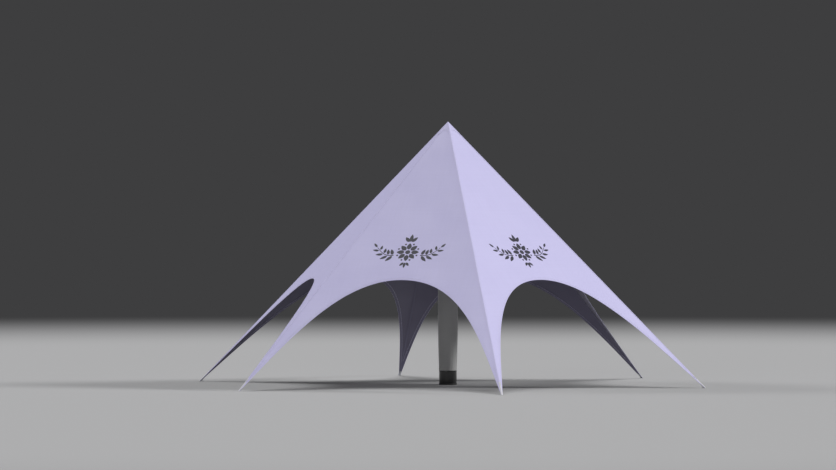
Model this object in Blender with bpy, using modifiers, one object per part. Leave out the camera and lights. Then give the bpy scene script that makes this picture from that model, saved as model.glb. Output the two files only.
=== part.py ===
"""Six-pointed star tent: six fabric faces with arches on one central mast. Metres, +Z up.

The origin is the middle of the mast foot's underside. The tips stand at 0, 60, 120 degrees and so
on from +X, and panel 1 faces -Y.
"""

import math

import bmesh
import bpy
from mathutils import Matrix, Vector
from mathutils.geometry import interpolate_bezier

# Canopy, measured on its outer faces
POINTS = 6
STAR_RADIUS = 5.25  # mast axis to the end of each tip
APEX_HEIGHT = 5.16
FABRIC = 0.006  # fabric and its seams, thicker than the real sheet
GAP = 0.0003  # between pieces that touch

# Arch in each face: across from the face's middle line, and up the slope from the ground
ARCH_TOP = 2.8
ARCH_FOOT = 2.612
ARCH_TOP_HANDLE = 1.228
ARCH_FOOT_HANDLE = (1.887, 1.343)
ARCH_STEPS = 18  # straight pieces in each half

# Sewn bands
HEM_WIDTH = 0.06
HEM = 0.003
BELT_WING = 0.02  # the webbing is folded along the ridge, with a wing on each face
BELT = 0.004
HEM_TO_RIDGE = 0.032  # where a hem stops, beside the webbing

# Steel shoes at the tips
PLATE_LENGTH = 0.09
PLATE_WIDTH = 0.05
PLATE = 0.006
TONGUE_LENGTH = 0.14
TONGUE_WING = 0.014
TONGUE = 0.005

# Mast
FOOT_RADIUS = 0.175
FOOT_HEIGHT = 0.281
COLUMN_RADIUS = 0.1965
COLUMN_FULL_HEIGHT = 1.4  # the column reaches its full width here
COLUMN_TOP = 4.66
COLLAR_RADIUS = 0.206
HEAD_BOTTOM = 4.8
HEAD_TOP = 5.13
EDGE_ROUND = 0.012
TURN_STEPS = 64

SECTOR = 2 * math.pi / POINTS
APOTHEM = STAR_RADIUS * math.cos(SECTOR / 2)
SLOPE = math.hypot(APEX_HEIGHT, APOTHEM)  # length of a face's middle line
FACE_COS = APOTHEM / SLOPE  # of the angle between a face and the ground
FIRST_FACE = math.radians(270)  # direction that panel 1 faces
FIRST_RIDGE = math.radians(300)  # direction of tip 1


def clear_scene():
    for obj in list(bpy.data.objects):
        bpy.data.objects.remove(obj, do_unlink=True)


def new_collection(name):
    collection = bpy.data.collections.new(name)
    bpy.context.scene.collection.children.link(collection)
    return collection


def new_material(name, color, roughness, metallic=0.0):
    material = bpy.data.materials.new(name)
    material.use_nodes = True
    shader = material.node_tree.nodes["Principled BSDF"]
    shader.inputs["Base Color"].default_value = (*color, 1.0)
    shader.inputs["Roughness"].default_value = roughness
    shader.inputs["Metallic"].default_value = metallic
    return material


def add_object(name, mesh, material, matrix=None):
    if not mesh.materials:
        mesh.materials.append(material)
    obj = bpy.data.objects.new(name, mesh)
    tent.objects.link(obj)
    if matrix is not None:
        obj.matrix_world = matrix
    return obj


def prism(outline, low, high):
    """A bmesh of a flat outline in X and Y, from the height low to the height high."""
    bm = bmesh.new()
    face = bm.faces.new([bm.verts.new((x, y, high)) for x, y in outline])
    raised = bmesh.ops.extrude_face_region(bm, geom=[face], use_keep_orig=True)
    verts = [v for v in raised["geom"] if isinstance(v, bmesh.types.BMVert)]
    bmesh.ops.translate(bm, vec=(0, 0, low - high), verts=verts)
    bmesh.ops.recalc_face_normals(bm, faces=bm.faces)
    return bm


def trim(bm, point, normal):
    """Cut off what lies on the normal's side of a plane, and close the cut."""
    geom = bm.verts[:] + bm.edges[:] + bm.faces[:]
    cut = bmesh.ops.bisect_plane(
        bm, geom=geom, dist=1e-6, plane_co=point, plane_no=normal, clear_outer=True
    )
    edges = [e for e in cut["geom_cut"] if isinstance(e, bmesh.types.BMEdge)]
    bmesh.ops.holes_fill(bm, edges=edges, sides=0)
    bmesh.ops.recalc_face_normals(bm, faces=bm.faces)


def to_mesh(bm, name):
    mesh = bpy.data.meshes.new(name)
    bm.to_mesh(mesh)
    bm.free()
    return mesh


def face_matrix(angle):
    """X runs along a face's foot, Y up its slope and Z out of it, from the middle of its foot."""
    out = Vector((math.cos(angle), math.sin(angle), 0))
    across = Vector((-math.sin(angle), math.cos(angle), 0))
    up = (Vector((0, 0, APEX_HEIGHT)) - out * APOTHEM).normalized()
    normal = across.cross(up)
    matrix = Matrix((across, up, normal)).transposed().to_4x4()
    matrix.translation = out * APOTHEM
    return matrix


def ridge_matrix(angle):
    """Z runs down a ridge from the peak, X across it and Y out of it."""
    out = Vector((math.cos(angle), math.sin(angle), 0))
    across = Vector((-math.sin(angle), math.cos(angle), 0))
    down = (out * STAR_RADIUS - Vector((0, 0, APEX_HEIGHT))).normalized()
    matrix = Matrix((across, down.cross(across), down)).transposed().to_4x4()
    matrix.translation = (0, 0, APEX_HEIGHT)
    return matrix


def half_arch():
    """Points from the top of the arch to its foot, on the side where X is positive."""
    return interpolate_bezier(
        Vector((0, ARCH_TOP)),
        Vector((ARCH_TOP_HANDLE, ARCH_TOP)),
        Vector(ARCH_FOOT_HANDLE),
        Vector((ARCH_FOOT, 0)),
        ARCH_STEPS + 1,
    )


def full_arch(reach=0.0, sideways=0.0):
    """The arch from foot to foot, carried on below its feet by reach and set out by sideways."""
    right = half_arch()
    run = (right[-1] - right[-2]).normalized()
    right.append(right[-1] + run * reach)
    left = [Vector((-p.x, p.y)) for p in reversed(right[1:])]
    line = left + right
    moved = []
    for i, point in enumerate(line):
        before = line[max(i - 1, 0)]
        after = line[min(i + 1, len(line) - 1)]
        along = (after - before).normalized()
        moved.append(point + Vector((-along.y, along.x)) * sideways)
    return moved


# Canopy


def panel_mesh():
    """One face, mitred along its ridges and trimmed level at the ground plates."""
    past = 0.2  # the blank runs this far past the ridges
    below = 0.1
    blank = full_arch(reach=below)
    low = blank[-1].y
    right_foot = Vector((STAR_RADIUS / 2 + past, low))
    right_top = Vector((past, SLOPE + past))
    blank += [right_foot, right_top]
    blank += [Vector((-p.x, p.y)) for p in (right_top, right_foot)]
    bm = prism(blank, -FABRIC, 0)
    to_local = face_matrix(0).inverted()
    turn = to_local.to_3x3()
    for side in (1, -1):
        angle = side * SECTOR / 2
        away = Vector((-math.sin(angle), math.cos(angle), 0)) * side
        trim(bm, to_local @ (-away * GAP / 2), turn @ away)
    trim(bm, to_local @ Vector((0, 0, PLATE + GAP)), turn @ Vector((0, 0, -1)))
    return to_mesh(bm, "canopy_panel")


def hem_mesh():
    """The band inside an arch's edge, which ends beside the webbing of the ridges."""
    outline = full_arch(reach=0.05)
    outline += reversed(full_arch(reach=0.05, sideways=HEM_WIDTH))
    top = -FABRIC - GAP
    bm = prism(outline, top - HEM, top)
    ridge = Vector((STAR_RADIUS / 2, -SLOPE, 0)).normalized()
    for side in (1, -1):
        away = Vector((-ridge.y * side, ridge.x, 0))
        foot = Vector((side * STAR_RADIUS / 2, 0, 0))
        trim(bm, foot - away * HEM_TO_RIDGE, away)
    return to_mesh(bm, "arch_hem")


def ridge_tilt():
    """The angle by which each face falls away from the level across a ridge."""
    matrix = ridge_matrix(0)
    normal = face_matrix(SECTOR / 2).to_3x3().col[2]
    return math.acos(normal.dot(matrix.to_3x3().col[1]))


def folded_strip(wing, depth, thickness, start, length):
    """A strip folded along the ridge, whose upper side lies at a depth under both faces."""
    tilt = ridge_tilt()
    drop = 1 / math.cos(tilt)
    along = Vector((math.cos(tilt), -math.sin(tilt)))
    inward = Vector((-math.sin(tilt), -math.cos(tilt)))
    top = Vector((0, -depth * drop))
    bottom = Vector((0, -(depth + thickness) * drop))
    edge = top + along * wing
    half = [bottom, edge + inward * thickness, edge, top]
    outline = half + [Vector((-p.x, p.y)) for p in reversed(half[1:3])]
    return prism(outline, start, start + length)


def ridge_length():
    return math.hypot(STAR_RADIUS, APEX_HEIGHT)


def belt_mesh():
    """The webbing of a ridge, from under the mast head to the ground plate."""
    to_local = ridge_matrix(0).inverted()
    turn = to_local.to_3x3()
    bm = folded_strip(BELT_WING, FABRIC + GAP, BELT, 0, ridge_length() + PLATE_LENGTH)
    up = turn @ Vector((0, 0, 1))
    trim(bm, to_local @ Vector((0, 0, HEAD_BOTTOM - GAP)), up)
    trim(bm, to_local @ Vector((0, 0, PLATE + GAP)), -up)
    return to_mesh(bm, "ridge_belt")


def tongue_mesh():
    """The steel tongue under the webbing's end, in the ridge's own axes."""
    to_local = ridge_matrix(0).inverted()
    depth = FABRIC + BELT + 2 * GAP
    start = ridge_length() - TONGUE_LENGTH
    bm = folded_strip(TONGUE_WING, depth, TONGUE, start, 2 * TONGUE_LENGTH)
    down = to_local.to_3x3() @ Vector((0, 0, -1))
    trim(bm, to_local @ Vector((0, 0, PLATE / 2)), down)
    bm.transform(ridge_matrix(0))
    return bm


def shoe_mesh():
    """The ground plate of a tip with its tongue, for the tip on +X."""
    tongue = bpy.data.objects.new("tongue", to_mesh(tongue_mesh(), "tongue"))
    cutters.objects.link(tongue)
    tongue.hide_render = True
    tongue.display_type = "WIRE"
    bm = bmesh.new()
    bmesh.ops.create_cube(bm, size=1)
    bmesh.ops.scale(bm, vec=(PLATE_LENGTH, PLATE_WIDTH, PLATE), verts=bm.verts)
    middle = (STAR_RADIUS - PLATE_LENGTH / 2, 0, PLATE / 2)
    bmesh.ops.translate(bm, vec=middle, verts=bm.verts)
    upright = [e for e in bm.edges if abs(e.verts[0].co.z - e.verts[1].co.z) > PLATE / 2]
    bmesh.ops.bevel(bm, geom=upright, offset=PLATE, segments=3, affect="EDGES", profile=0.5)
    plate = bpy.data.objects.new("plate", to_mesh(bm, "plate"))
    cutters.objects.link(plate)
    union = plate.modifiers.new("tongue", "BOOLEAN")
    union.operation = "UNION"
    union.object = tongue
    graph = bpy.context.evaluated_depsgraph_get()
    mesh = bpy.data.meshes.new_from_object(plate.evaluated_get(graph))
    mesh.name = "tip_shoe"
    bpy.data.objects.remove(plate, do_unlink=True)
    bpy.data.objects.remove(tongue, do_unlink=True)
    return mesh


def build_canopy():
    panel = panel_mesh()
    hem = hem_mesh()
    belt = belt_mesh()
    shoe = shoe_mesh()
    for i in range(POINTS):
        face = face_matrix(FIRST_FACE + i * SECTOR)
        ridge_angle = FIRST_RIDGE + i * SECTOR
        add_object(f"canopy_panel_{i + 1}", panel, canopy_fabric, face)
        add_object(f"arch_hem_{i + 1}", hem, hem_fabric, face)
        add_object(f"ridge_belt_{i + 1}", belt, webbing, ridge_matrix(ridge_angle))
        spin = Matrix.Rotation(ridge_angle, 4, "Z")
        add_object(f"tip_shoe_{i + 1}", shoe, galvanised, spin)


# Mast


def turned(name, profile, material):
    """A solid of revolution. The profile runs from the top of the axis to its bottom."""
    mesh = bpy.data.meshes.new(name)
    verts = [(r, 0, z) for r, z in profile]
    mesh.from_pydata(verts, [(i, i + 1) for i in range(len(verts) - 1)], [])
    obj = add_object(name, mesh, material)
    screw = obj.modifiers.new("turn", "SCREW")
    screw.steps = TURN_STEPS
    screw.render_steps = TURN_STEPS
    screw.use_merge_vertices = True
    screw.merge_threshold = 1e-5
    screw.use_smooth_shade = True
    return obj


def round_corner(radius, height, turn, steps=4):
    """Profile points around an outer corner: turn is 1 at the top and -1 at the bottom."""
    points = []
    for i in range(steps + 1):
        angle = math.radians(90) * i / steps
        r = radius - EDGE_ROUND * (1 - math.sin(angle))
        z = height - turn * EDGE_ROUND * (1 - math.cos(angle))
        points.append((r, z))
    return points if turn > 0 else points[::-1]


def drum(name, radius, low, high, material):
    profile = [(0, high)]
    profile += round_corner(radius, high, 1)
    profile += round_corner(radius, low, -1)
    profile += [(0, low)]
    return turned(name, profile, material)


def build_mast():
    drum("mast_foot", FOOT_RADIUS, 0, FOOT_HEIGHT, black_plastic)
    bottom = FOOT_HEIGHT + GAP
    swell = []
    swell_steps = 10
    for i in range(swell_steps + 1):
        share = i / swell_steps
        ease = math.sin(share * math.pi / 2)
        r = FOOT_RADIUS + (COLUMN_RADIUS - FOOT_RADIUS) * ease
        swell.append((r, bottom + (COLUMN_FULL_HEIGHT - bottom) * share))
    profile = [(0, COLUMN_TOP)]
    profile += round_corner(COLUMN_RADIUS, COLUMN_TOP, 1)
    profile += swell[::-1]
    profile += [(0, bottom)]
    turned("mast_column", profile, sleeve)
    drum("mast_collar", COLLAR_RADIUS, COLUMN_TOP + GAP, HEAD_BOTTOM - GAP, black_plastic)
    build_head()


def build_head():
    """A six-sided head whose flanks lie under the faces."""
    inner_apex = APEX_HEIGHT - (FABRIC + GAP) / FACE_COS
    spread = STAR_RADIUS / APEX_HEIGHT
    bm = bmesh.new()
    bmesh.ops.create_cone(
        bm,
        cap_ends=True,
        segments=POINTS,
        radius1=(inner_apex - HEAD_BOTTOM) * spread,
        radius2=(inner_apex - HEAD_TOP) * spread,
        depth=HEAD_TOP - HEAD_BOTTOM,
    )
    first = max(bm.verts, key=lambda v: v.co.xy.length).co
    turn = Matrix.Rotation(FIRST_RIDGE - math.atan2(first.y, first.x), 4, "Z")
    lift = Matrix.Translation((0, 0, (HEAD_TOP + HEAD_BOTTOM) / 2))
    bm.transform(lift @ turn)
    add_object("mast_head", to_mesh(bm, "mast_head"), black_plastic)


clear_scene()
tent = new_collection("star_tent")
cutters = new_collection("cutters")
canopy_fabric = new_material("canopy_fabric", (0.56, 0.53, 0.78), 0.6)
hem_fabric = new_material("hem_fabric", (0.5, 0.48, 0.72), 0.65)
webbing = new_material("webbing", (0.45, 0.44, 0.58), 0.75)
galvanised = new_material("galvanised_steel", (0.42, 0.43, 0.44), 0.4, 1.0)
sleeve = new_material("mast_sleeve", (0.5, 0.5, 0.5), 0.6)
black_plastic = new_material("black_plastic", (0.01, 0.01, 0.011), 0.2)
build_canopy()
build_mast()
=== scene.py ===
import math
import bmesh
import bpy
from mathutils import Matrix, Vector, noise
from mathutils.geometry import interpolate_bezier


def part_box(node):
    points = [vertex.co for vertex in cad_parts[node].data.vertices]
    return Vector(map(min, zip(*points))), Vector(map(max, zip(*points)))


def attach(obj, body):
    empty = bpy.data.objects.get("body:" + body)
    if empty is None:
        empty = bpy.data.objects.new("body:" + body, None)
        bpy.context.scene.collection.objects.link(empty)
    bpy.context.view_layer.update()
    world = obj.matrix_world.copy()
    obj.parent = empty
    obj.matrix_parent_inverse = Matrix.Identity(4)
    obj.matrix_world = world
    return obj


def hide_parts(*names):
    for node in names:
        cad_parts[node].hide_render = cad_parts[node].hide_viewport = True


# Six-pointed star tent: cloth, webbing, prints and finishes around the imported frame.
# Metres, +Z up. Tips stand at 0, 60, 120 degrees and so on, and face 1 looks along -Y.

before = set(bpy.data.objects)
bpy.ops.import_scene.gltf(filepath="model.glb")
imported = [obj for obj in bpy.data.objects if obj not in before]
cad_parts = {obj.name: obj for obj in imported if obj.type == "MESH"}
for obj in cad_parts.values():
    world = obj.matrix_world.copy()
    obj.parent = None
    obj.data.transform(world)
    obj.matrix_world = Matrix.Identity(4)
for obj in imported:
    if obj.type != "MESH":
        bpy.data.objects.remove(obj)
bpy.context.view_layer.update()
scene = bpy.context.scene
tent = bpy.data.collections.new("star_tent_looks")
scene.collection.children.link(tent)

# Main measures, read from the frame
sides = 6
numbers = range(1, sides + 1)  # of the faces, the ridges and the tips
sector = 2 * math.pi / sides
firstFace = math.radians(270)  # direction that face 1 looks in
firstTip = math.radians(300)
starRadius = round(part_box("tip_shoe_2")[1].x, 3)
apexHeight = round(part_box("canopy_panel_1")[1].z, 3)
apothem = starRadius * math.cos(sector / 2)
slope = math.hypot(apexHeight, apothem)  # middle line of a face, from the ground to the peak
ridgeLength = math.hypot(starRadius, apexHeight)
ridgeSin = starRadius / 2 / ridgeLength  # half the angle of a face at the peak
ridgeCos = slope / ridgeLength
foldCos = math.cos(math.radians(22.05))  # each face falls away this much beside a ridge
clothThickness = 0.0016
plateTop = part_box("tip_shoe_2")[0].z + 0.006  # upper side of the ground plates
clothEnd = plateTop + 0.0003  # the cloth is cut level here


# Building blocks


def addPiece(name, bm, materials, replaced=()):
    mesh = bpy.data.meshes.new(name)
    bm.to_mesh(mesh)
    bm.free()
    mesh.shade_smooth()
    for material in materials:
        mesh.materials.append(material)
    obj = bpy.data.objects.new(name, mesh)
    tent.objects.link(obj)
    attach(obj, "root")
    if replaced:
        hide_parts(*replaced)
    return obj


def thicken(obj, thickness, side=0.0, innerSlot=0):
    solidify = obj.modifiers.new("thickness", "SOLIDIFY")
    solidify.thickness = thickness
    solidify.offset = side
    solidify.material_offset = innerSlot
    # the wide faces decide the shading, so that the thin rim doesn't darken them
    obj.modifiers.new("shading", "WEIGHTED_NORMAL")
    return obj


def gridSheet(rows, columns, placeAt, uvAt, secondFrom=None):
    # a grid whose corner (row, column) is carried to placeAt(row, column); the columns from
    # secondFrom on take the second material
    bm = bmesh.new()
    bmesh.ops.create_grid(bm, x_segments=columns, y_segments=rows, size=0.5)
    corners = {}
    for vert in bm.verts:
        corners[vert] = (round((vert.co.y + 0.5) * rows), round((vert.co.x + 0.5) * columns))
    layer = bm.loops.layers.uv.new("cloth")
    for face in bm.faces:
        if secondFrom is not None:
            face.material_index = int(min(corners[vert][1] for vert in face.verts) >= secondFrom)
        for loop in face.loops:
            loop[layer].uv = uvAt(*corners[loop.vert])
    for vert, corner in corners.items():
        vert.co = placeAt(*corner)
    return bm


def flatSheet(rows, columns, spotAt, onCloth):
    # a grid drafted flat: spotAt gives its UV map, and onCloth carries that to its place
    def placeAt(row, column):
        return onCloth(spotAt(row, column))

    def uvAt(row, column):
        return tuple(spotAt(row, column))

    return gridSheet(rows, columns, placeAt, uvAt)


def addTo(bm, part):
    # copies one bmesh into another, with its UV map
    mesh = bpy.data.meshes.new("part")
    part.to_mesh(mesh)
    part.free()
    bm.from_mesh(mesh)
    bpy.data.meshes.remove(mesh)


def mergeAndFaceOut(bm, out, merge=0.00005):
    # merges doubles, then turns the whole sheet so that it looks along out(centre)
    bmesh.ops.remove_doubles(bm, verts=bm.verts, dist=merge)
    bmesh.ops.dissolve_degenerate(bm, dist=merge, edges=bm.edges)
    bmesh.ops.recalc_face_normals(bm, faces=bm.faces)
    bm.normal_update()
    votes = sum(f.normal.dot(out(f.calc_center_median())) * f.calc_area() for f in bm.faces)
    if votes < 0:
        bmesh.ops.reverse_faces(bm, faces=bm.faces)
    return bm


def bevelled(bm, edges, width):
    bmesh.ops.bevel(bm, geom=edges, offset=width, segments=2, profile=0.5, affect="EDGES", material=-1)
    return bm


def roundedDisc(radius, low, high, corners, edge):
    bm = bmesh.new()
    bmesh.ops.create_cone(
        bm, cap_ends=True, segments=corners, radius1=radius, radius2=radius, depth=high - low
    )
    bevelled(bm, [e for e in bm.edges if abs(e.verts[0].co.z - e.verts[1].co.z) < 1e-6], edge)
    bmesh.ops.translate(bm, vec=(0, 0, (low + high) / 2), verts=bm.verts)
    return bm


def roundedBlock(size, edge):
    bm = bmesh.new()
    bmesh.ops.create_cube(bm, size=1)
    bmesh.ops.scale(bm, vec=size, verts=bm.verts)
    return bevelled(bm, bm.edges[:], edge)


def addToScene(name, data):
    obj = bpy.data.objects.new(name, data)
    scene.collection.objects.link(obj)
    return obj


def sharpened(piece, degrees=35):
    piece.data.set_sharp_from_angle(angle=math.radians(degrees))
    return piece


def polar(angle, radius=1.0, z=0.0):
    return Vector((math.cos(angle) * radius, math.sin(angle) * radius, z))


def standing(bm, angle, radius, z):
    # carries a part to its place round the mast, turned to face out
    bm.transform(Matrix.Translation(polar(angle, radius, z)) @ Matrix.Rotation(angle, 4, "Z"))
    return bm


def smoothStep(x):
    x = min(max(x, 0.0), 1.0)
    return x * x * (3 - 2 * x)


def lengthsAlong(points):
    # how far along a line each of its points lies
    runs = [0.0]
    for before, here in zip(points, points[1:]):
        runs.append(runs[-1] + (here - before).length)
    return runs


# The pyramid: face 1 to 6, with u to the right and v up the slope, as seen from outside


def faceAxes(face):
    out = polar(firstFace + (face - 1) * sector)
    across = Vector((-out.y, out.x, 0))
    up = (Vector((0, 0, apexHeight)) - out * apothem).normalized()
    return out * apothem, across, up, across.cross(up)


axesOfFace = {face: faceAxes(face) for face in numbers}

tension = {
    "sag": 0.011,  # how far the middle of a face hangs inside the flat pyramid
    "sagLength": 3.2,  # it grows over this much of the slope below the peak
    "streak": 0.0016,  # long shallow folds that run along the ridges
    "legStreak": 0.0026,
    "legStart": 3.6,  # along a ridge, where the folds start to deepen
    "legBlend": 2.0,
    "streakWidth": 0.24,
    "streakLength": 2.4,
    "fine": 0.45,  # share of finer folds among them
    "finer": 2.3,  # how many of them lie in the width of one fold
    "fineLength": 1.1,
    "quiet": 0.03,  # the cloth lies flat this far from a ridge
    "rise": 0.12,  # the folds reach their full depth over this width
    "fadeStart": 0.5,  # and die out from this far from the ridge
    "fadeWidth": 0.85,
    "swell": 0.004,  # slow unevenness over a whole face
    "swellSize": (1.3, 1.7),
    "swellRise": 0.7,
}


def clothDepth(face, u, v):
    # how far the stretched cloth stands out of the flat face, in metres
    run = abs(u) * ridgeSin + (slope - v) * ridgeCos  # from the peak, along the nearer ridge
    aside = (slope - v) * ridgeSin - abs(u) * ridgeCos  # from that ridge
    inward = aside - tension["quiet"]
    if inward <= 0:
        return 0.0
    half = max((slope - v) * starRadius / 2 / slope, 0.001)
    share = min(abs(u) / half, 1.0)
    sag = -tension["sag"] * (1 - share * share) * smoothStep((slope - v) / tension["sagLength"])
    seed = face * 7.3 + (2.1 if u > 0 else -2.1)
    across = aside / tension["streakWidth"]
    streak = noise.noise(Vector((across, run / tension["streakLength"], seed)))
    fine = noise.noise(Vector((across * tension["finer"], run / tension["fineLength"], seed + 40)))
    leg = smoothStep((run - tension["legStart"]) / tension["legBlend"])
    height = tension["streak"] + (tension["legStreak"] - tension["streak"]) * leg
    height *= smoothStep(inward / tension["rise"])
    height *= 1 - smoothStep((aside - tension["fadeStart"]) / tension["fadeWidth"])
    wide, long = tension["swellSize"]
    swell = noise.noise(Vector((u / wide, v / long, face * 3.7))) * tension["swell"]
    swell *= smoothStep(inward / tension["swellRise"])
    return sag + (streak + tension["fine"] * fine) * height + swell


def clothPoint(face, u, v, lift=0.0):
    origin, across, up, out = axesOfFace[face]
    return origin + across * u + up * v + out * (clothDepth(face, u, v) + lift)


def onFace(face, lift=0.0, centre=Vector((0, 0))):
    # carries a flat spot, measured from the centre, to the cloth of a face
    def place(spot):
        here = centre + spot
        return clothPoint(face, here.x, here.y, lift)

    return place


def faceBeside(ridge, side):
    # ridge n lies between face n on its left, where side is negative, and face n + 1
    return ridge if side < 0 else ridge % sides + 1


def ridgePoint(ridge, run, aside, lift):
    if abs(aside) < 1e-6:
        left, right = (axesOfFace[faceBeside(ridge, side)][3] for side in (-1, 1))
        fold = (left + right).normalized()
        return clothPoint(ridge, run * ridgeSin, slope - run * ridgeCos) + fold * (lift / foldCos)
    away = abs(aside)
    u = run * ridgeSin - away * ridgeCos
    v = slope - run * ridgeCos - away * ridgeSin
    return clothPoint(faceBeside(ridge, aside), u if aside < 0 else -u, v, lift)


def outward(point):
    return Vector((point.x, point.y, 0.5 * starRadius))


# The arch in each face, as drafted on the flat cloth

arch = {
    "top": 2.8,
    "foot": 2.612,  # half its width on the ground
    "topHandle": 1.228,
    "footHandle": (1.887, 1.343),
    "steps": 68,  # in each half
    "hem": 0.06,
    "hemShare": 0.45,  # of the way to the ridge, at most
    "insetShare": 0.9,
}


def halfArch():
    # the edge's points from top to foot, each with the way into the cloth and its reach that way
    line = interpolate_bezier(
        Vector((0, arch["top"])),
        Vector((arch["topHandle"], arch["top"])),
        Vector(arch["footHandle"]),
        Vector((arch["foot"], 0)),
        arch["steps"] + 1,
    )
    points = []
    for i, here in enumerate(line):
        along = (line[min(i + 1, len(line) - 1)] - line[max(i - 1, 0)]).normalized()
        into = Vector((-along.y, along.x)) if i else Vector((0, 1))
        gap = -(here.x * ridgeCos + (here.y - slope) * ridgeSin)  # to the ridge, squarely
        reach = gap / max(into.x * ridgeCos + into.y * ridgeSin, 0.05)
        points.append((here, into, reach))
    return points


archHalf = halfArch()
archWhole = [(Vector((-p.x, p.y)), Vector((-n.x, n.y)), r) for p, n, r in reversed(archHalf[1:])]
archWhole += archHalf


def hemSpot(point, share):
    # a share of the way from the arch's edge to the hem line
    here, into, reach = point
    return here + into * min(arch["hem"], arch["hemShare"] * reach) * share


def archPoint(face, index, inset, lift):
    # a point beside the arch's edge; a wide inset is squeezed where the leg is narrow
    here, into, reach = archWhole[index]
    inset = min(inset, arch["insetShare"] * reach) if inset > 0 else inset
    spot = here + into * inset
    return clothPoint(face, spot.x, spot.y, lift)


# Materials


def linear(hexText):
    values = [int(hexText[i : i + 2], 16) / 255 for i in (1, 3, 5)]
    values = [c / 12.92 if c <= 0.04045 else ((c + 0.055) / 1.055) ** 2.4 for c in values]
    return (*values, 1.0)


def setSockets(node, sockets):
    # by name, or in the order of the sockets in use; each takes a value or a link, and a node
    # stands for its first output in use
    if not isinstance(sockets, dict):
        sockets = dict(zip((i for i, socket in enumerate(node.inputs) if socket.enabled), sockets))
    for key, value in sockets.items():
        if isinstance(value, bpy.types.Node):
            value = next(output for output in value.outputs if output.enabled)
        if isinstance(value, bpy.types.NodeSocket):
            node.id_data.links.new(value, node.inputs[key])
        else:
            node.inputs[key].default_value = value


def addNode(tree, kind, sockets=(), **settings):
    node = tree.nodes.new("ShaderNode" + kind)
    for key, value in settings.items():
        setattr(node, key, value)
    setSockets(node, sockets)
    return node


def newMaterial(name):
    material = bpy.data.materials.new(name)
    material.use_nodes = True
    return material, material.node_tree, material.node_tree.nodes["Principled BSDF"]


def wovenCloth(name, base, warm, roughness, sheen=0.06):
    # PU-coated 600 denier polyester, plain woven: matt, even, with faint runs of thicker thread.
    # Real threads lie 0.5 mm apart, too fine to show, so the weave's bump is drawn 4 mm apart
    # and the runs of thicker thread 50 mm wide.
    thread = 0.004
    material, tree, shader = newMaterial(name)
    flat = addNode(tree, "UVMap", uv_map="cloth")
    split = addNode(tree, "SeparateXYZ", (flat,))
    thicker = []
    waves = []
    for axis, scale in (("X", (22.0, 0.9, 1.0)), ("Y", (0.9, 22.0, 1.0))):
        drawn = addNode(tree, "Mapping", {"Vector": flat, "Scale": scale})
        thicker.append(addNode(tree, "TexNoise", (drawn, 1.0, 2.0)))
        turns = (split.outputs[axis], 2 * math.pi / thread)
        turned = addNode(tree, "Math", turns, operation="MULTIPLY")
        waves.append(addNode(tree, "Math", (turned,), operation="SINE"))
    threads = addNode(tree, "Math", thicker, operation="ADD")
    shade = addNode(tree, "MapRange", (threads, 0.70, 1.30, 0.985, 1.012))
    clouds = addNode(tree, "TexNoise", (flat, 1.3, 4.0))
    patches = addNode(tree, "MapRange", (clouds, 0.3, 0.7))
    mottled = addNode(tree, "Mix", (patches, linear(base), linear(warm)), data_type="RGBA")
    coloured = addNode(tree, "Mix", (1.0, mottled, shade), data_type="RGBA", blend_type="MULTIPLY")
    weave = addNode(tree, "Math", waves, operation="MULTIPLY")
    sockets = {
        "Base Color": coloured,
        "Roughness": addNode(tree, "MapRange", (clouds, 0.3, 0.7, roughness - 0.05, roughness + 0.05)),
        "Normal": addNode(tree, "Bump", {"Height": weave, "Strength": 0.12, "Distance": 0.0004}),
        "Sheen Weight": sheen,
        "Sheen Roughness": 0.4,
        "IOR": 1.48,
    }
    setSockets(shader, sockets)
    return material


def threadMaterial():
    # bonded polyester sewing thread, twisted: slightly lighter than the cloth and a bit shiny
    material, tree, shader = newMaterial("bondedPolyesterThread")
    flat = addNode(tree, "UVMap", uv_map="cloth")
    drawn = addNode(tree, "Mapping", {"Vector": flat, "Scale": (260.0, 60.0, 1.0)})
    twist = addNode(tree, "TexWave", (drawn, 1.0, 0.4), wave_type="BANDS", bands_direction="DIAGONAL")
    ends = linear("#b9b6cf"), linear("#dcd9ee")
    tone = addNode(tree, "Mix", (twist.outputs["Fac"], *ends), data_type="RGBA")
    setSockets(shader, {"Base Color": tone, "Roughness": 0.45, "Sheen Weight": 0.1})
    return material


def webbingMaterial(name, dark, light):
    # 40 mm polyester webbing, ribbed across its width. The ribs are 1.5 mm in the real one and
    # drawn 4 mm apart.
    rib = 0.004
    material, tree, shader = newMaterial(name)
    flat = addNode(tree, "UVMap", uv_map="cloth")
    period = 2 * math.pi / 20  # of a wave texture whose scale is 1
    wave = addNode(tree, "TexWave", (flat, period / rib), wave_type="BANDS", bands_direction="Y")
    ribs = wave.outputs["Fac"]
    drawn = addNode(tree, "Mapping", {"Vector": flat, "Scale": (220.0, 60.0, 1.0)})
    fuzz = addNode(tree, "TexNoise", (drawn, 1.0, 3.0))
    worn = addNode(tree, "MapRange", (fuzz, 0.3, 0.7, 0.2, 0.9))
    tone = addNode(tree, "Mix", (worn, linear(dark), linear(light)), data_type="RGBA")
    grooves = addNode(tree, "MapRange", (ribs, 0.0, 1.0, 0.45, 0.0))
    raised = {"Height": ribs, "Strength": 0.5, "Distance": 0.0008}
    sockets = {
        "Base Color": addNode(tree, "Mix", (grooves, tone, linear(dark)), data_type="RGBA"),
        "Roughness": addNode(tree, "MapRange", (fuzz, 0.3, 0.7, 0.6, 0.8)),
        "Normal": addNode(tree, "Bump", raised),
        "Sheen Weight": 0.08,
    }
    setSockets(shader, sockets)
    return material


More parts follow.
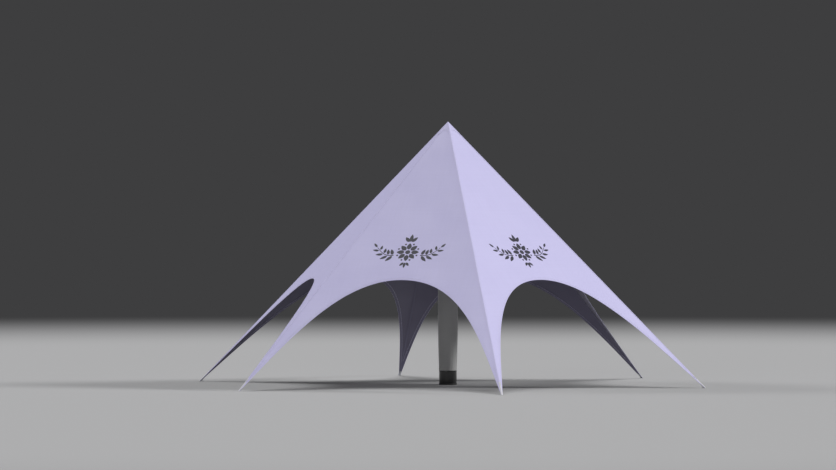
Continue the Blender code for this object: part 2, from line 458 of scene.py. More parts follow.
def inkMaterial():
    # screen-printed solvent ink on coated cloth: dark grey, satin, a little thin on the thread tops
    material, tree, shader = newMaterial("screenPrintInk")
    worn = addNode(tree, "TexNoise", (addNode(tree, "UVMap", uv_map="cloth"), 14.0, 5.0, 0.6))
    thin = addNode(tree, "MapRange", (worn, 0.35, 0.75))
    tone = addNode(tree, "Mix", (thin, linear("#2b2a37"), linear("#383744")), data_type="RGBA")
    gloss = addNode(tree, "MapRange", (worn, 0.3, 0.7, 0.45, 0.6))
    setSockets(shader, {"Base Color": tone, "Roughness": gloss, "IOR": 1.5})
    return material


def galvanisedMaterial():
    # hot-dip galvanised steel that has stood outside: spangles about 12 mm across under a thin
    # chalky bloom, so it is only partly metallic
    material, tree, shader = newMaterial("hotDipGalvanisedSteel")
    place = addNode(tree, "TexCoord").outputs["Object"]
    spangles = addNode(tree, "TexVoronoi", (place, 80.0)).outputs["Color"]
    ends = linear("#c4c6c8"), linear("#dadcde")
    tone = addNode(tree, "Mix", (addNode(tree, "SeparateColor", (spangles,)), *ends), data_type="RGBA")
    cloudy = addNode(tree, "TexNoise", (place, 30.0, 4.0))
    dull = addNode(tree, "MapRange", (cloudy, 0.3, 0.7, 0.42, 0.62))
    setSockets(shader, {"Base Color": tone, "Metallic": 0.45, "Roughness": dull})
    return material


def mouldedPlasticMaterial(name, dark, light, roughness, coat):
    # moulded ABS or rubber: fine flow marks, and handling scuffs that change its gloss
    material, tree, shader = newMaterial(name)
    place = addNode(tree, "TexCoord").outputs["Object"]
    drawn = addNode(tree, "Mapping", {"Vector": place, "Scale": (3.0, 3.0, 9.0)})
    flow = addNode(tree, "MapRange", (addNode(tree, "TexNoise", (drawn, 1.0, 3.0)), 0.3, 0.7))
    scuff = addNode(tree, "TexNoise", (place, 26.0, 6.0, 0.65))
    sockets = {
        "Base Color": addNode(tree, "Mix", (flow, linear(dark), linear(light)), data_type="RGBA"),
        "Roughness": addNode(tree, "MapRange", (scuff, 0.3, 0.7, roughness - 0.04, roughness + 0.12)),
        "Normal": addNode(tree, "Bump", {"Height": scuff, "Strength": 0.08, "Distance": 0.001}),
        "IOR": 1.54,
        "Coat Weight": coat,
        "Coat Roughness": 0.04,
    }
    setSockets(shader, sockets)
    return material


canopyOutside = wovenCloth("coatedPolyesterOutside", "#cac6ec", "#c6c2e9", 0.55)
# the canopy's inside is the same lavender cloth as its outside, drawn much darker as painted shade
canopyInsidePaintedShade = wovenCloth("coatedPolyesterInsidePaintedShade", "#67637b", "#625e75", 0.5)
hemCloth = wovenCloth("foldedHemCloth", "#cac6ec", "#c6c2e9", 0.55)
# the binding's inner side is the hem cloth drawn darker as painted shade, like the canopy's inside
innerHemPaintedShade = wovenCloth("foldedHemClothInsidePaintedShade", "#6c6882", "#67637b", 0.55)
sleeveCloth = wovenCloth("mastSleeveCloth", "#bcbcbb", "#b4b4b3", 0.45, sheen=0.3)
# the ridge webbing inside is toned down to the canopy's darkened inside, as painted shade
beltWebbingPaintedShade = webbingMaterial("ridgeWebbingPaintedShade", "#6d6a81", "#7a778e")
tipWebbing = webbingMaterial("greyTipWebbing", "#c9c8d0", "#e2e1e8")
sewingThread = threadMaterial()
printInk = inkMaterial()
galvanised = galvanisedMaterial()
blackPlastic = mouldedPlasticMaterial("glossyBlackAbs", "#070708", "#0c0c0d", 0.12, 0.35)
zipTeeth = mouldedPlasticMaterial("mouldedZipTeeth", "#6f6f71", "#7d7d7f", 0.35, 0.1)
blackRubber = mouldedPlasticMaterial("blackRubber", "#151516", "#1d1d1e", 0.55, 0.0)
print("materials made")


# Canopy: one continuous sheet, drafted as twelve half gores that share their edges

canopy = {
    "runStep": 0.062,  # between the rows above the arch
    "columns": 21,
    "seam": (0.0, 0.010, 0.026),  # columns kept beside a ridge, where the seam is
    "seamShare": 0.4,  # of a row's width, at most
    "hemColumns": 2,
}


def rowStarts():
    # where each row leaves the middle line or the hem, on the right half of a face
    hemLine = [hemSpot(point, 1.0) for point in archHalf]
    top = hemLine[0].y
    count = math.ceil((slope - top) * ridgeCos / canopy["runStep"])
    middle = [Vector((0, slope + (top - slope) * i / count)) for i in range(count)]
    return middle + hemLine


def halfGore(face, side):
    starts = rowStarts()
    columns = canopy["columns"]
    seam = canopy["seam"]

    def spotAt(row, column):
        start = starts[row]
        run = start.x * ridgeSin + (slope - start.y) * ridgeCos
        end = Vector((run * ridgeSin, slope - run * ridgeCos))
        width = (end - start).length
        squeeze = min(1.0, canopy["seamShare"] * width / seam[-1])
        fromRidge = columns - column
        if fromRidge < len(seam):
            aside = seam[fromRidge] * squeeze
        else:
            free = columns - len(seam) + 1
            aside = seam[-1] * squeeze + (width - seam[-1] * squeeze) * (free - column) / free
        share = 1 - aside / width if width > 1e-6 else 1.0
        here = start.lerp(end, share)
        return Vector((side * here.x, here.y))

    return flatSheet(len(starts) - 1, columns, spotAt, onFace(face))


def halfHem(face, side):
    # the strip of cloth between the arch's edge and the hem line
    columns = canopy["hemColumns"]

    def spotAt(row, column):
        here = hemSpot(archHalf[row], column / columns)
        return Vector((side * here.x, here.y))

    return flatSheet(len(archHalf) - 1, columns, spotAt, onFace(face))


def trimLevel(bm):
    # cuts the cloth level above the ground plates
    geom = bm.verts[:] + bm.edges[:] + bm.faces[:]
    bmesh.ops.bisect_plane(
        bm, geom=geom, dist=1e-6, plane_co=(0, 0, clothEnd), plane_no=(0, 0, -1), clear_outer=True
    )


def buildCanopy():
    bm = bmesh.new()
    for face in numbers:
        for side in (1, -1):
            addTo(bm, halfGore(face, side))
            addTo(bm, halfHem(face, side))
    mergeAndFaceOut(bm, outward)
    trimLevel(bm)
    names = [f"canopy_panel_{i}" for i in numbers]
    # the inner side takes the darker cloth, which is painted shade
    cloth = addPiece("canopy_cloth", bm, [canopyOutside, canopyInsidePaintedShade], names)
    return thicken(cloth, clothThickness, -1.0, 1)


canopyCloth = buildCanopy()
sewnOn = []  # every band, tape and print that goes with the canopy
print("canopy made")


# Arch hems: a binding folded round the edge, wide inside and narrow outside

binding = {
    "thickness": 0.001,
    "outside": 0.022,
    "clear": 0.0010,  # between the cloth and the middle of the tape
    "roll": 0.0018,  # how far it stands past the edge
    "pucker": 0.0006,  # depth of the puckers between the stitches, drawn about 90 mm long
    "puckersPerStep": 0.55,
    "thread": 0.0011,  # radius
    "outerRow": 0.018,  # stitches, from the arch's edge
    "innerRows": (0.052, 0.046),
}


def buildHem(face):
    out = binding["clear"]
    under = -clothThickness - binding["clear"]
    middle = -clothThickness / 2
    wide = arch["hem"]
    # the tape's lines across it: inset from the edge, lift, and share of the puckers
    outside = [
        (binding["outside"], out, 1.0),
        (binding["outside"] * 0.5, out + 0.0004, 0.5),
        (0.0015, out, 0.0),
        (-0.0008, out * 0.6, 0.0),
        (-binding["roll"], middle, 0.0),
    ]
    inside = [
        (-0.0008, under * 0.7, 0.0),
        (0.0015, under, 0.0),
        (wide * 0.35, under - 0.0006, 0.6),
        (wide * 0.7, under - 0.0006, 1.0),
        (wide, under, 0.6),
    ]
    section = outside + inside
    along = lengthsAlong([here for here, into, reach in archWhole])

    def placeAt(row, column):
        inset, lift, loose = section[column]
        away, seed = (-1, 1.0) if lift < middle else (1, 2.0)
        wave = noise.noise(Vector((row * binding["puckersPerStep"], face * 5.1, seed)))
        return archPoint(face, row, inset, lift + away * abs(binding["pucker"] * wave) * loose)

    def uvAt(row, column):
        return (column * 0.009, along[row])

    bm = gridSheet(len(archWhole) - 1, len(section) - 1, placeAt, uvAt, secondFrom=len(outside))
    trimLevel(bm)
    mergeAndFaceOut(bm, outward)
    # the inner side of the binding takes the darker cloth, which is painted shade
    cloths = [hemCloth, innerHemPaintedShade]
    hem = addPiece(f"arch_binding_{face}", bm, cloths, [f"arch_hem_{face}"])
    return thicken(hem, binding["thickness"])


def threadAlong(bm, spots, out, radius, corners=6):
    # a thread through a list of points, on cloth that faces out
    runs = lengthsAlong(spots)

    def placeAt(row, column):
        ahead = spots[min(row + 1, len(spots) - 1)]
        behind = spots[max(row - 1, 0)]
        along = (ahead - behind).normalized()
        side = along.cross(out).normalized()
        up = side.cross(along)
        turn = 2 * math.pi * column / corners
        shrink = 0.0 if row in (0, len(spots) - 1) else 1.0
        return spots[row] + (side * math.cos(turn) + up * math.sin(turn)) * radius * shrink

    def uvAt(row, column):
        return (column / corners * 2 * math.pi * radius, runs[row])

    part = gridSheet(len(spots) - 1, corners, placeAt, uvAt)
    bmesh.ops.remove_doubles(part, verts=part.verts, dist=1e-6)
    bmesh.ops.recalc_face_normals(part, faces=part.faces)
    addTo(bm, part)


def buildHemStitches(face):
    bm = bmesh.new()
    over = binding["clear"] + 0.0010
    under = -clothThickness - binding["clear"] - 0.0016
    first, second = binding["innerRows"]
    # the first inner row also shows outside, on the bare cloth
    for inset, lift in ((binding["outerRow"], over), (first, 0.0004), (first, under), (second, under)):
        spots = [archPoint(face, i, inset, lift) for i in range(2, len(archWhole) - 2)]
        spots = [spot for spot in spots if spot.z > clothEnd + 0.02]
        threadAlong(bm, spots, axesOfFace[face][3], binding["thread"])
    return addPiece(f"arch_stitching_{face}", bm, [sewingThread])


for face in numbers:
    sewnOn.append(buildHem(face))
    sewnOn.append(buildHemStitches(face))
print("arch hems made")


# Ridges: a folded tape outside with two rows of stitches, and webbing inside

ridge = {
    "tapeHalf": 0.023,
    "tapeLift": 0.0008,
    "tapeTipLift": 0.0018,  # where it crosses the arch hems, near the ground
    "tapeRise": (ridgeLength - 0.9, 0.3),  # where it changes to that, and over what length
    "tapeThickness": 0.0008,
    "webbingHalf": 0.02,
    "webbingHeadLift": -0.0038,  # where it passes between the cloth and the mast head
    "webbingLift": -0.0056,  # clear of the arch hems, which it crosses near the ground
    "webbingDrop": (0.6, 0.5),
    "webbingStart": 0.12,
    "webbingThickness": 0.0018,
    "step": 0.08,
    "start": 0.06,
    "stitchIn": 0.005,  # from the tape's edge
    "stitchStart": 0.08,
    "stitchEnd": ridgeLength - 0.33,  # under the webbing of the tip
}


def liftAlong(first, last, change, run):
    start, length = change
    return first + (last - first) * smoothStep((run - start) / length)


def tapeLift(run):
    return liftAlong(ridge["tapeLift"], ridge["tapeTipLift"], ridge["tapeRise"], run)


def webbingLift(run):
    return liftAlong(ridge["webbingHeadLift"], ridge["webbingLift"], ridge["webbingDrop"], run)


def foldedStrip(number, start, half, liftAt, end=ridgeLength, step=ridge["step"]):
    rows = max(2, round((end - start) / step))
    edge = half - 0.0015  # columns that keep the strip's edges and its fold crisp
    fold = 0.004
    asides = [-half, -edge, -fold, 0.0, fold, edge, half]

    def spotAt(row, column):
        return asides[column], start + (end - start) * row / rows

    def onRidge(spot):
        aside, run = spot
        return ridgePoint(number, run, aside, liftAt(run))

    bm = flatSheet(rows, len(asides) - 1, spotAt, onRidge)
    trimLevel(bm)
    return mergeAndFaceOut(bm, outward)


def buildRidge(number):
    tape = foldedStrip(number, ridge["start"], ridge["tapeHalf"], tapeLift)
    tape = addPiece(f"ridge_tape_{number}", tape, [hemCloth])
    belt = foldedStrip(number, ridge["webbingStart"], ridge["webbingHalf"], webbingLift)
    # the webbing's dark tone is painted shade
    belt = addPiece(f"ridge_webbing_{number}", belt, [beltWebbingPaintedShade], [f"ridge_belt_{number}"])
    stitches = bmesh.new()
    inset = ridge["tapeHalf"] - ridge["stitchIn"]
    rows = round((ridgeLength - ridge["start"]) / ridge["step"])
    first, last = ridge["stitchStart"], ridge["stitchEnd"]
    runs = [first + (last - first) * row / rows for row in range(rows + 1)]
    for aside in (-inset, inset):
        out = axesOfFace[faceBeside(number, aside)][3]
        spots = [ridgePoint(number, run, aside, tapeLift(run) + 0.0006) for run in runs]
        threadAlong(stitches, spots, out, binding["thread"])
    stitches = addPiece(f"ridge_stitching_{number}", stitches, [sewingThread])
    return [thicken(tape, ridge["tapeThickness"]), thicken(belt, ridge["webbingThickness"]), stitches]


for number in numbers:
    sewnOn += buildRidge(number)
print("ridges made")


# Peak: a second layer sewn over the top, longer along the ridges

peak = {
    "middle": 0.25,  # from the peak down the middle of each face
    "ridge": 0.40,
    "curve": 2.2,  # how late its edge drops towards a ridge
    "lift": 0.0019,  # over the ridge tapes
    "rest": 0.0008,  # on the cloth between them
    "slope": 0.012,  # beside the tapes, between those two
    "thickness": 0.0008,
    "rows": 9,
    "shares": (0.0, 0.2, 0.4, 0.6, 0.78, 0.9, 0.97, 1.0),
    "stitchRows": (0.012, 0.0264),  # from its edge
    "stitchSteps": 32,
    "stitchShare": 0.985,  # of the face's width
    "thread": 0.00088,
}


def peakSpot(face, down, share, proud=0.0):
    # down is the distance along the nearer ridge line, share runs from -1 to 1 across the face
    if abs(share) > 0.999:
        number = face if share > 0 else (face - 2) % sides + 1
        return ridgePoint(number, down, 0.0, peak["lift"] + proud)
    half = down * ridgeSin
    aside = half * (1 - abs(share)) * ridgeCos
    over = 1 - smoothStep((aside - ridge["tapeHalf"]) / peak["slope"])
    lift = peak["rest"] + (peak["lift"] - peak["rest"]) * over + proud
    return clothPoint(face, share * half, slope - down * ridgeCos, lift)


def peakDepth(share):
    return peak["middle"] + (peak["ridge"] - peak["middle"]) * abs(share) ** peak["curve"]


def buildPeak():
    bm = bmesh.new()
    stitches = bmesh.new()
    rows = peak["rows"]
    steps = peak["stitchSteps"]
    shares = [-share for share in reversed(peak["shares"][1:])] + list(peak["shares"])
    stitchShares = [(2 * i / steps - 1) * peak["stitchShare"] for i in range(steps + 1)]
    for face in numbers:

        def spotAt(row, column):
            share = shares[column]
            return peakDepth(share) * row / rows, share

        def placeAt(row, column):
            return peakSpot(face, *spotAt(row, column))

        def uvAt(row, column):
            down, share = spotAt(row, column)
            return (share * down * ridgeSin, down)

        addTo(bm, gridSheet(rows, len(shares) - 1, placeAt, uvAt))
        for inset in peak["stitchRows"]:
            spots = [peakSpot(face, peakDepth(x) - inset, x, 0.0008) for x in stitchShares]
            threadAlong(stitches, spots, axesOfFace[face][3], peak["thread"])
    mergeAndFaceOut(bm, outward)
    patch = thicken(addPiece("peak_patch", bm, [hemCloth]), peak["thickness"])
    return [patch, addPiece("peak_stitching", stitches, [sewingThread])]


sewnOn += buildPeak()
print("peak made")


# Tips: grey webbing sewn over the end of each leg with a boxed cross, and a bolt in the plate

tip = {
    "length": 0.34,
    "half": 0.019,
    "lift": 0.0036,
    "thickness": 0.0018,
    "step": 0.02,
    "stop": 0.004,  # before the end of the ridge
    "boxLength": 0.10,
    "boxIn": 0.005,
    "boxSteps": 6,  # in each side of the box
    "thread": 0.0008,
    "bolt": (0.0095, 0.007, 0.017),  # its radius and height, and the washer's radius
    "boltFromEnd": 0.066,
}


def stitchedBox(bm, number, side, start):
    # round the box and across it both ways
    near = tip["boxIn"]
    far = tip["half"] - tip["boxIn"]
    first = start + tip["boxIn"]
    last = first + tip["boxLength"]
    corners = [(first, near), (first, far), (last, far), (last, near)]
    corners += [(first, near), (last, far), (last, near), (first, far)]
    spots = []
    for before, after in zip(corners, corners[1:]):
        for i in range(tip["boxSteps"]):
            run, aside = (a + (b - a) * i / tip["boxSteps"] for a, b in zip(before, after))
            spots.append(ridgePoint(number, run, side * aside, tip["lift"] + 0.0014))
    threadAlong(bm, spots, axesOfFace[faceBeside(number, side)][3], tip["thread"], 5)


def buildTipWebbing(number):
    start = ridgeLength - tip["length"]
    end = ridgeLength - tip["stop"]
    strap = foldedStrip(number, start, tip["half"], lambda run: tip["lift"], end, tip["step"])
    strap = addPiece(f"tip_webbing_{number}", strap, [tipWebbing])
    stitches = bmesh.new()
    for side in (-1, 1):
        stitchedBox(stitches, number, side, start)
    stitches = addPiece(f"tip_stitching_{number}", stitches, [sewingThread])
    return [thicken(strap, tip["thickness"]), stitches]


def hexBolt(radius, height, washer):
    # a bolt head on a washer, standing on z = 0
    bm = bmesh.new()
    addTo(bm, roundedDisc(washer, 0.0002, 0.0022, 24, 0.0005))
    addTo(bm, roundedDisc(radius, 0.0024, 0.0024 + height, 6, 0.001))
    return bm


def addSteel(name, bm):
    sharpened(addPiece(name, bm, [galvanised]))


def buildBolt(number):
    angle = firstTip + (number - 1) * sector
    bolt = standing(hexBolt(*tip["bolt"]), angle, starRadius - tip["boltFromEnd"], plateTop)
    addSteel(f"tip_bolt_{number}", bolt)


for number in numbers:
    sewnOn += buildTipWebbing(number)
    buildBolt(number)
print("tips made")


# Prints: a plain rosette between leafy sprays, on two neighbouring faces and the two opposite

printed = {
    "faces": (1, 2, 4, 5),
    "centre": (-0.05, 3.50),
    "lift": 0.0007,
    "thickness": 0.0004,
    "petals": 8,
    "petal": (0.068, 0.158, 0.096),  # start from the middle, length and width
    "heart": 0.050,
    "bead": 0.020,
    "beadRing": 0.212,
    "stemWidth": 0.022,
    "stemTaper": 0.6,
    "sprayStart": (0.270, -0.080),
    "sprayEnd": (0.640, 0.115),
    "sprayBend": 0.075,
    "pairs": 4,  # of leaves, between these two shares of the stem
    "pairsFrom": 0.08,
    "pairsTo": 0.84,
    "leaf": (0.180, 0.070),
    "leafTaper": 0.34,
    "leafBend": 0.020,
    "leafTurns": (88, 62, 50),  # degrees: above the stem, at its start and end, and below it
    "leafAbove": 0.82,  # length above the stem, against that below it
    "endLeaf": 0.68,
    "crest": (0.262, 0.190, 0.074),
    "crestTurn": 40,
    "crestShift": 0.024,
    "crestSide": 0.8,  # size of its side leaves
    "crestBelow": 0.72,
}


def drawLeaf(bm, onCloth, base, heading, length, width, bend=0.0):
    rows = 8
    along = polar(heading).xy
    aside = Vector((-along.y, along.x))

    def spotAt(row, column):
        run = row / rows
        half = width / 2 * math.sin(math.pi * run**0.82) ** 0.85 if 0 < row < rows else 0.0
        return base + along * (run * length) + aside * ((column - 1) * half + bend * run * run)

    addTo(bm, flatSheet(rows, 2, spotAt, onCloth))


def drawDisc(bm, onCloth, centre, radius, corners=20):
    def spotAt(row, column):
        return centre + polar(2 * math.pi * column / corners).xy * radius * row / 2

    addTo(bm, flatSheet(2, corners, spotAt, onCloth))


def sprayLine(side, share):
    # a stem that leaves the rosette low and bends up towards its end
    spot = Vector(printed["sprayStart"]).lerp(Vector(printed["sprayEnd"]), share)
    spot.y -= printed["sprayBend"] * math.sin(math.pi * share)
    return Vector((side * spot.x, spot.y))


def drawSpray(bm, onCloth, side):
    rows = 24
    length, width = printed["leaf"]
    first, last = printed["pairsFrom"], printed["pairsTo"]
    startTurn, endTurn, belowTurn = printed["leafTurns"]

    def headingAt(share):
        along = sprayLine(side, share + 0.01) - sprayLine(side, share - 0.01)
        return math.atan2(along.y, along.x)

    def beside(share, aside):
        return sprayLine(side, share) + polar(headingAt(share) + math.pi / 2).xy * aside

    def spotAt(row, column):
        share = row / rows
        half = printed["stemWidth"] / 2 * (1 - printed["stemTaper"] * share)
        return beside(share, half * (2 * column - 1))

    addTo(bm, flatSheet(rows, 1, spotAt, onCloth))
    for i in range(printed["pairs"]):
        share = first + (last - first) * i / (printed["pairs"] - 1)
        size = 1 - printed["leafTaper"] * share
        for hand in (-1, 1):
            above = hand * side > 0
            turn = startTurn + (endTurn - startTurn) * share if above else belowTurn
            heading = headingAt(share) + hand * math.radians(turn)
            base = beside(share, hand * printed["stemWidth"] * 0.7)
            reach = length * size * (printed["leafAbove"] if above else 1.0)
            drawLeaf(bm, onCloth, base, heading, reach, width * size, -hand * printed["leafBend"])
    size = printed["endLeaf"]
    drawLeaf(bm, onCloth, sprayLine(side, 1.02), headingAt(1.0), length * size, width * size)


def drawRosette(bm, onCloth):
    start, length, width = printed["petal"]
    petals = printed["petals"]
    drawDisc(bm, onCloth, Vector((0, 0)), printed["heart"])
    for i in range(petals):
        angle = 2 * math.pi * i / petals + math.pi / 2
        drawLeaf(bm, onCloth, polar(angle).xy * start, angle, length, width)
        bead = polar(angle + math.pi / petals).xy * printed["beadRing"]
        drawDisc(bm, onCloth, bead, printed["bead"], 12)


def drawCrest(bm, onCloth, up):
    # three leaves above the rosette, and a smaller three below it
    start, length, width = printed["crest"]
    size = 1.0 if up > 0 else printed["crestBelow"]
    for hand, share in ((0, 1.0), (1, printed["crestSide"]), (-1, printed["crestSide"])):
        base = Vector((-hand * printed["crestShift"], start)) * up
        heading = up * math.pi / 2 + hand * math.radians(printed["crestTurn"])
        drawLeaf(bm, onCloth, base, heading, length * share * size, width * size)


def buildPrint(face):
    onCloth = onFace(face, printed["lift"], Vector(printed["centre"]))
    bm = bmesh.new()
    drawRosette(bm, onCloth)
    for up in (1, -1):
        drawCrest(bm, onCloth, up)
    for side in (-1, 1):
        drawSpray(bm, onCloth, side)
    piece = addPiece(f"face_print_{face}", mergeAndFaceOut(bm, outward), [printInk])
    return thicken(piece, printed["thickness"], 1.0)


for face in printed["faces"]:
    sewnOn.append(buildPrint(face))
print("prints made")


# Mast: a cloth sleeve, gathered a little where it narrows into the foot

sleeve = {
    "around": 96,
    "along": 90,
    "crowd": 0.35,  # how close the rows lie at the foot, as a share of their mean distance
    "thickness": 0.0015,
    "inset": 0.0015,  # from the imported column's surface
    "fullHeight": 1.4,
    "pleats": 26,
    "pleat": 0.0016,
    "pleatHeight": 0.35,  # the pleats die out over about this
    "wander": (1.5, 0.8, 5),  # how fast they wander round and up the mast, and how far they lean
    "soft": 0.0012,  # unevenness
    "softHeight": 0.3,
    "hem": 0.045,
}
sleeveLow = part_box("mast_column")[0].z
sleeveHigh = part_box("mast_column")[1].z
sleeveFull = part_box("mast_column")[1].x  # its radius from fullHeight up
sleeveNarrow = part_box("mast_foot")[1].x


def sleeveRadius(z):
    ease = math.sin(min((z - sleeveLow) / (sleeve["fullHeight"] - sleeveLow), 1.0) * math.pi / 2)
    return sleeveNarrow + (sleeveFull - sleeveNarrow) * ease - sleeve["inset"]


def fromMast(point):
    return Vector((point.x, point.y, 0))


def roundMast(rows, columns, spotAt):
    # a sheet round the mast; spotAt gives the angle, radius and height of a corner, and its u
    def placeAt(row, column):
        return polar(*spotAt(row, column)[:3])

    def uvAt(row, column):
        angle, radius, z, u = spotAt(row, column)
        return (u, z)

    return mergeAndFaceOut(gridSheet(rows, columns, placeAt, uvAt), fromMast)


def buildSleeve():
    crowd = sleeve["crowd"]
    ringSize, rise, lean = sleeve["wander"]

    def spotAt(row, column):
        share = row / sleeve["along"]
        z = sleeveLow + (sleeveHigh - sleeveLow) * share * (crowd + (1 - crowd) * share)
        angle = 2 * math.pi * column / sleeve["around"]
        wander = noise.noise(polar(angle, ringSize, z * rise))
        pleat = math.cos(sleeve["pleats"] * angle + lean * wander) * sleeve["pleat"]
        pleat *= math.exp(-max(z - sleeveLow - sleeve["hem"], 0) / sleeve["pleatHeight"])
        pleat *= smoothStep((z - sleeveLow) / sleeve["hem"])
        soft = sleeve["soft"] * wander * smoothStep((z - sleeveLow) / sleeve["softHeight"])
        return angle, sleeveRadius(z) + pleat + soft, z, sleeveFull * angle

    bm = roundMast(sleeve["along"], sleeve["around"], spotAt)
    piece = addPiece("mast_sleeve_cloth", bm, [sleeveCloth], ["mast_column"])
    return thicken(piece, sleeve["thickness"], -1.0)


mastSleeve = buildSleeve()


# Sleeve trimmings: a hem at each end, and a zip up the far side

trim = {
    "thickness": 0.0012,
    "hemProud": 0.0022,
    "zipAngle": 118,
    "zipTape": 0.032,
    "zipProud": 0.0026,
    "teeth": 0.007,
    "teethProud": 0.0044,
    "teethThickness": 0.0024,
    "pull": 0.30,  # height of the zip's slider above the foot
    "pullProud": 0.0095,
    "pullSize": (0.007, 0.014, 0.042),
}


def bandRound(low, high, proud, columns=96, rows=4):
    def spotAt(row, column):
        z = low + (high - low) * row / rows
        bulge = proud * (1.0 if 0 < row < rows else 0.6)
        return 2 * math.pi * column / columns, sleeveRadius(z) + bulge, z, column * 0.0129

    return roundMast(rows, columns, spotAt)


def uprightStrip(angle, half, low, high, proud, rows=60, columns=4):
    def spotAt(row, column):
        z = low + (high - low) * row / rows
        radius = sleeveRadius(z) + proud
        across = half * (2 * column / columns - 1)
        return angle + across / radius, radius, z, across

    return roundMast(rows, columns, spotAt)


def buildTrimmings():
    angle = math.radians(trim["zipAngle"])
    start = sleeveLow + sleeve["hem"]
    end = sleeveHigh - sleeve["hem"]
    thickness = trim["thickness"]
    tape = uprightStrip(angle, trim["zipTape"] / 2, start, end, trim["zipProud"])
    teeth = uprightStrip(angle, trim["teeth"] / 2, start, end, trim["teethProud"])
    parts = (
        ("sleeve_hem_low", bandRound(sleeveLow, start, trim["hemProud"]), sleeveCloth, thickness),
        ("sleeve_hem_high", bandRound(end, sleeveHigh, trim["hemProud"]), sleeveCloth, thickness),
        ("sleeve_zip_tape", tape, sleeveCloth, thickness),
        ("sleeve_zip_teeth", teeth, zipTeeth, trim["teethThickness"]),
    )
    pieces = []
    for name, bm, cloth, wall in parts:
        pieces.append(thicken(addPiece(name, bm, [cloth]), wall))
    z = sleeveLow + trim["pull"]
    slider = roundedBlock(trim["pullSize"], 0.002)
    standing(slider, angle, sleeveRadius(z) + trim["pullProud"], z)
    return pieces + [addPiece("sleeve_zip_slider", slider, [galvanised])]


sleeveTrimmings = buildTrimmings()
print("mast made")


# Mast fittings: a clamp and screws on the collar, bolts under the head, and an air valve

fitting = {
    "clampLow": 4.700,
    "clampHigh": 4.722,
    "clampOut": 0.0008,  # clear of the collar
    "clampProud": 0.0012,
    "housingSize": (0.012, 0.034, 0.019),
    "housingOut": 0.0085,
    "housingAngle": 285,
    "screws": 12,
    "screwHeight": 4.762,
    "screwRadius": 0.0075,
    "headBolts": 6,
    "headBoltRing": 0.262,
    "headBolt": (0.009, 0.006, 0.016),
    "ringLow": 0.004,
    "ringHigh": 0.026,
    "ringProud": 0.0016,
    "valveAngle": 62,
    "valveHeight": 0.56,
    "valveFlange": 0.034,
    "valveCap": 0.024,
    "valveRibs": 12,
    "valveRib": 0.0022,
}


def turnedRing(radius, low, high, proud, corners=96):
    # a band round the mast with rounded edges, open at its back
    edge = min(proud, (high - low) / 3)
    profile = [(0.0, low), (proud - edge * 0.3, low + edge * 0.3), (proud, low + edge)]
    profile += [(proud, high - edge), (proud - edge * 0.3, high - edge * 0.3), (0.0, high)]
    profile += [(-0.0006, high - edge), (-0.0006, low + edge), (0.0, low)]

    def spotAt(row, column):
        out, z = profile[column]
        angle = 2 * math.pi * row / corners
        return -angle, radius + out, z, radius * angle

    return roundMast(corners, len(profile) - 1, spotAt)


def turnTo(bm, direction, place):
    # carries a part made along +Z to a place, with +Z along a direction
    turn = Vector(direction).to_track_quat("Z", "Y").to_matrix().to_4x4()
    bm.transform(Matrix.Translation(place) @ turn)
    return bm


def buildClamp(collar):
    low = fitting["clampLow"]
    high = fitting["clampHigh"]
    clamp = turnedRing(collar + fitting["clampOut"], low, high, fitting["clampProud"])
    housing = roundedBlock(fitting["housingSize"], 0.003)
    angle = math.radians(fitting["housingAngle"])
    addTo(clamp, standing(housing, angle, collar + fitting["housingOut"], (low + high) / 2))
    addSteel("collar_clamp", clamp)


def buildScrews(collar):
    screws = bmesh.new()
    for i in range(fitting["screws"]):
        angle = 2 * math.pi * (i + 0.5) / fitting["screws"]
        screw = roundedDisc(fitting["screwRadius"], -0.001, 0.003, 16, 0.0016)
        addTo(screws, turnTo(screw, polar(angle), polar(angle, collar, fitting["screwHeight"])))
    addSteel("collar_screws", screws)


def buildHeadBolts():
    bolts = bmesh.new()
    for i in range(fitting["headBolts"]):
        angle = 2 * math.pi * i / fitting["headBolts"]
        place = polar(angle, fitting["headBoltRing"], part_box("mast_head")[0].z)
        addTo(bolts, turnTo(hexBolt(*fitting["headBolt"]), (0, 0, -1), place))
    addSteel("head_bolts", bolts)


def buildRubberRing():
    ring = turnedRing(sleeveNarrow, fitting["ringLow"], fitting["ringHigh"], fitting["ringProud"])
    addPiece("foot_rubber_ring", ring, [blackRubber])


def buildValve():
    # a ribbed screw cap on a flange, low on the far side of the sleeve
    cap = fitting["valveCap"]
    bm = bmesh.new()
    addTo(bm, roundedDisc(fitting["valveFlange"], -0.003, 0.004, 40, 0.0015))
    addTo(bm, roundedDisc(cap, 0.0042, 0.016, 40, 0.003))
    for i in range(fitting["valveRibs"]):
        rib = roundedDisc(fitting["valveRib"], 0.006, 0.0145, 8, 0.0008)
        shift = polar(2 * math.pi * i / fitting["valveRibs"], cap - 0.0002)
        bmesh.ops.translate(rib, vec=shift, verts=rib.verts)
        addTo(bm, rib)
    angle = math.radians(fitting["valveAngle"])
    z = fitting["valveHeight"]
    turnTo(bm, polar(angle), polar(angle, sleeveRadius(z) + 0.001, z))
    sharpened(addPiece("air_valve", bm, [blackRubber]), 40)


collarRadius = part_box("mast_collar")[1].x
buildClamp(collarRadius)
buildScrews(collarRadius)
buildHeadBolts()
buildRubberRing()
buildValve()
print("fittings made")


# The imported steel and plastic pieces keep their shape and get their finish

finishes = {name: blackPlastic for name in ("mast_foot", "mast_collar", "mast_head")}
finishes.update({f"tip_shoe_{i}": galvanised for i in numbers})
for name, material in finishes.items():
    materials = bpy.data.objects[name].data.materials
    materials.clear()
    materials.append(material)
print("frame pieces finished")


# Stage: a pale floor that fades into a dark grey room, soft lights and the camera

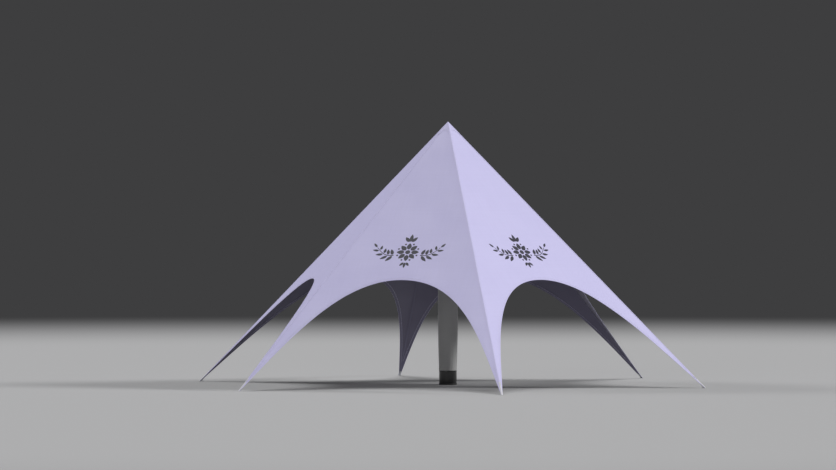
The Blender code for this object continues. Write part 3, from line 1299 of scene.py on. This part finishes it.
stage = {
    "floorRadius": 900.0,
    "floor": "#a8a8a9",
    "room": "#3e3e3f",
    "fadeStart": 26.0,
    "fadeEnd": 60.0,
    # strength of each light, and in degrees where it comes from and how soft it is
    "lights": {
        "top_light": (1.75, 255, 86, 35),
        "side_light": (2.16, 20, 28, 14),
        "fill_light": (1.05, 180, 25, 20),
        "front_light": (0.2, 265, 20, 20),
    },
}


def buildFloor():
    bm = bmesh.new()
    bmesh.ops.create_circle(bm, cap_ends=True, cap_tris=True, segments=96, radius=stage["floorRadius"])
    mesh = bpy.data.meshes.new("floor")
    bm.to_mesh(mesh)
    bm.free()
    material, tree, shader = newMaterial("paleFloor")
    place = addNode(tree, "TexCoord").outputs["Object"]
    distance = addNode(tree, "VectorMath", (place,), operation="LENGTH")
    fade = (distance, stage["fadeStart"], stage["fadeEnd"])
    far = addNode(tree, "MapRange", fade, interpolation_type="SMOOTHSTEP")
    finish = {"Base Color": linear(stage["floor"]), "Roughness": 0.85, "Specular IOR Level": 0.1}
    setSockets(shader, finish)
    room = addNode(tree, "Emission", {"Color": linear(stage["room"])})
    both = addNode(tree, "MixShader", (far, shader, room))
    setSockets(tree.nodes["Material Output"], {"Surface": both})
    mesh.materials.append(material)
    floor = addToScene("floor", mesh)


def addSun(name, strength, azimuth, elevation, softness):
    light = bpy.data.lights.new(name, "SUN")
    light.energy = strength
    light.angle = math.radians(softness)
    tall = math.radians(elevation)
    source = polar(math.radians(azimuth), math.cos(tall), math.sin(tall))
    addToScene(name, light).rotation_euler = source.to_track_quat("Z", "Y").to_euler()


def buildRoom():
    world = bpy.data.worlds.new("room")
    world.use_nodes = True
    world.node_tree.nodes["Background"].inputs["Color"].default_value = linear(stage["room"])
    scene.world = world
    for name, values in stage["lights"].items():
        addSun(name, *values)


camera = {
    "distance": 92.99,  # from the mast, along the ground
    "azimuth": 18.983,  # degrees to the right of face 1's middle
    "height": 3.484,
    "turn": 0.362,  # degrees that it looks to the left of the mast
    "down": 0.337,
    "roll": 0.020,
    "lens": 204.15,
}


def buildCamera():
    data = bpy.data.cameras.new("camera")
    data.lens = camera["lens"]
    data.sensor_width = 36
    data.clip_end = 2000
    azimuth = math.radians(camera["azimuth"])
    place = Matrix.Translation(polar(azimuth - math.pi / 2, camera["distance"], camera["height"]))
    turn = Matrix.Rotation(azimuth + math.radians(camera["turn"]), 4, "Z")
    tilt = Matrix.Rotation(math.radians(90 - camera["down"]), 4, "X")
    roll = Matrix.Rotation(math.radians(camera["roll"]), 4, "Z")
    scene.camera = addToScene("camera", data)
    scene.camera.matrix_world = place @ turn @ tilt @ roll


buildFloor()
buildRoom()
buildCamera()
scene.view_settings.view_transform = "Standard"
print("stage made")
